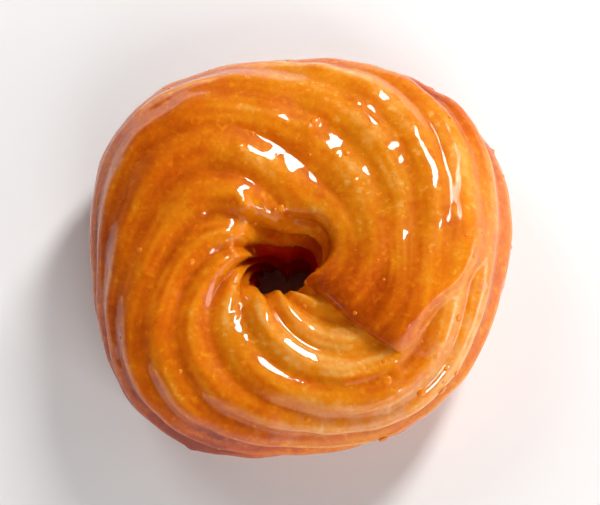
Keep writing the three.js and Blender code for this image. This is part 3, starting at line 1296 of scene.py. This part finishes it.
@dataclass(frozen=True)
class Softbox:
    """A rectangular studio light that looks at the ring.

    Attributes:
        name: Its name.
        azimuth: Where it stands round the ring from +X, in degrees.
        elevation: How high it stands, in degrees.
        distance: How far away it is, in metres.
        width: Its width in metres.
        height: Its height in metres.
        power: Its power in watts.
        mirrored: Whether the glaze shows its reflection.
    """

    name: str
    azimuth: float
    elevation: float
    distance: float
    width: float
    height: float
    power: float
    mirrored: bool = True

    def place(self, target: Vector) -> bpy.types.Object:
        """Hangs the light.

        Args:
            target: What it looks at.

        Returns:
            The light.
        """
        light = bpy.data.lights.new(self.name, "AREA")
        light.shape, light.size, light.size_y, light.energy = "RECTANGLE", self.width, self.height, self.power
        lamp = bpy.data.objects.new(self.name, light)
        bpy.context.scene.collection.objects.link(lamp)
        lamp.visible_glossy = self.mirrored
        aim(lamp, target, self.azimuth, self.elevation, self.distance)
        return lamp


def aim(thing: bpy.types.Object, target: Vector, azimuth: float, elevation: float, distance: float) -> None:
    """Stands a light or a camera round a target and turns it to face it.

    Args:
        thing: The light or the camera.
        target: What it looks at.
        azimuth: Where it stands round the target from +X, in degrees.
        elevation: How high it stands, in degrees.
        distance: How far away it is, in metres.
    """
    turn, rise = math.radians(azimuth), math.radians(elevation)
    away = Vector((math.cos(turn) * math.cos(rise), math.sin(turn) * math.cos(rise), math.sin(rise)))
    thing.location = target + away * distance
    thing.rotation_euler = away.to_track_quat("Z", "Y").to_euler()


@dataclass
class Studio:
    """The floor, the lights, the surroundings and the camera.

    Attributes:
        floor_width: Side of the floor, in metres.
        floor_drop: How far it lies under the ring, in metres.
        air: The colour of the light from all round.
        overhead: Its strength from straight above.
        level: Its strength from the horizon on the bright side.
        dim_level: Its strength from the horizon on the other side.
        bright_side: Where the bright side is, in degrees from +X.
        bright_at: How far towards it the light is at its full strength, as a cosine.
        fade_from: How high up it starts to fade to the overhead strength, as a sine.
        fade_to: How high up it has faded.
        backdrop: The colour seen beyond the floor.
        elevation: How high the camera stands, in degrees.
        lens: The camera's focal length in millimetres.
        sensor: The camera's sensor width in millimetres.
        picture: The picture's height over its width.
        fill: Share of the picture's height that the ring takes up.
        softboxes: The lights.
    """

    floor_width: float = 4.0
    floor_drop: float = 0.0002
    air: str = "fffafa"
    overhead: float = 0.03
    level: float = 1.9
    dim_level: float = 0.12
    bright_side: float = -35
    bright_at: float = 0.9
    fade_from: float = 0.05
    fade_to: float = 0.6
    backdrop: str = "f4f2f1"
    elevation: float = 76
    lens: float = 120
    sensor: float = 36
    picture: float = 505 / 600
    fill: float = 0.8
    softboxes: list[Softbox] = field(default_factory=lambda: [
        Softbox("key_softbox", 56, 40, 0.5, 0.08, 0.24, 2.2),
        Softbox("left_softbox", 135, 46, 0.5, 0.2, 0.2, 0.6, False),
        Softbox("front_softbox", 290, 45, 0.6, 0.3, 0.3, 1.35, False),
        Softbox("front_lamp", -45, 35, 0.6, 0.05, 0.05, 0.25),
        Softbox("right_panel", -8, 13, 0.6, 0.3, 0.16, 0.5),
        Softbox("left_panel", 212, 5, 0.6, 0.3, 0.08, 0.09)])

    def lay_floor(self, finish: bpy.types.Material) -> bpy.types.Object:
        """Lays the floor just under the ring.

        Args:
            finish: The floor's material.

        Returns:
            The floor.
        """
        side, level = self.floor_width / 2, -self.floor_drop
        corners = np.array([(x * side, y * side, level) for x, y in ((-1, -1), (1, -1), (1, 1), (-1, 1))])
        floor = mesh_piece("floor", corners, [(0, 1, 2, 3)], finish)
        return floor

    def surround(self) -> None:
        """Sets the light from all round, and the backdrop that only the camera sees."""
        world = bpy.data.worlds.new("surroundings")
        world.use_nodes = True
        nodes = Nodes(world.node_tree)
        around = world.node_tree.nodes["Background"]
        nodes.put(around.inputs["Color"], linear(self.air))
        height = nodes.add("SeparateXYZ", Vector=nodes.add("TexCoord").outputs["Generated"]).outputs["Z"]
        side = nodes.add("VectorMath", operation="DOT_PRODUCT")
        nodes.put(side.inputs[0], nodes.add("TexCoord").outputs["Generated"])
        bright = math.radians(self.bright_side)
        side.inputs[1].default_value = (math.cos(bright), math.sin(bright), 0)
        level = nodes.add("MapRange", Value=side.outputs["Value"], From_Min=0, From_Max=self.bright_at,
                          To_Min=self.dim_level, To_Max=self.level)
        fade = nodes.add("MapRange", interpolation_type="SMOOTHSTEP", Value=height,
                         From_Min=self.fade_from, From_Max=self.fade_to,
                         To_Min=level.outputs["Result"], To_Max=self.overhead)
        nodes.put(around.inputs["Strength"], fade.outputs["Result"])
        seen = nodes.add("Background", Color=linear(self.backdrop), Strength=1.0)
        choice = nodes.add("MixShader", Fac=nodes.add("LightPath").outputs["Is Camera Ray"])
        nodes.put(choice.inputs[1], around.outputs[0])
        nodes.put(choice.inputs[2], seen.outputs[0])
        nodes.put(world.node_tree.nodes["World Output"].inputs["Surface"], choice.outputs[0])
        bpy.context.scene.world = world

    def light(self, target: Vector) -> None:
        """Hangs the softboxes round a target."""
        for softbox in self.softboxes:
            softbox.place(target)

    def place_camera(self, low: Vector, high: Vector) -> bpy.types.Object:
        """Stands the camera in front of the ring, looking down on it.

        Args:
            low: The object's lowest corner.
            high: Its highest corner.

        Returns:
            The camera.
        """
        data = bpy.data.cameras.new("camera")
        data.lens, data.sensor_width = self.lens, self.sensor
        depth = high.y - low.y
        distance = depth / self.fill * self.lens / (self.sensor * self.picture)
        camera = bpy.data.objects.new("camera", data)
        bpy.context.scene.collection.objects.link(camera)
        aim(camera, (low + high) / 2, -90, self.elevation, distance)
        bpy.context.scene.camera = camera
        return camera


def main() -> None:
    """Builds the ring and its studio, and reports each piece."""
    logging.basicConfig(level=logging.INFO, format="%(name)s: %(message)s")
    mottle_group()
    ring, masks = DoughRing().build(FriedDough().material())
    log.info("%s: %d faces", ring.name, len(ring.data.polygons))
    beads = SyrupBeads().build(ring, masks, Syrup().material())
    log.info("%s: %d faces", beads.name, len(beads.data.polygons))
    low, high = (Vector(corner) for corner in CAD_BOX)
    studio = Studio()
    floor = studio.lay_floor(PaleFloor().material())
    log.info("%s: laid", floor.name)
    studio.surround()
    studio.light((low + high) / 2)
    camera = studio.place_camera(low, high)
    log.info("%s: %.3f m away", camera.name, camera.location.length)
    bpy.context.scene.view_settings.view_transform = "Standard"


if __name__ == "__main__":
    main()
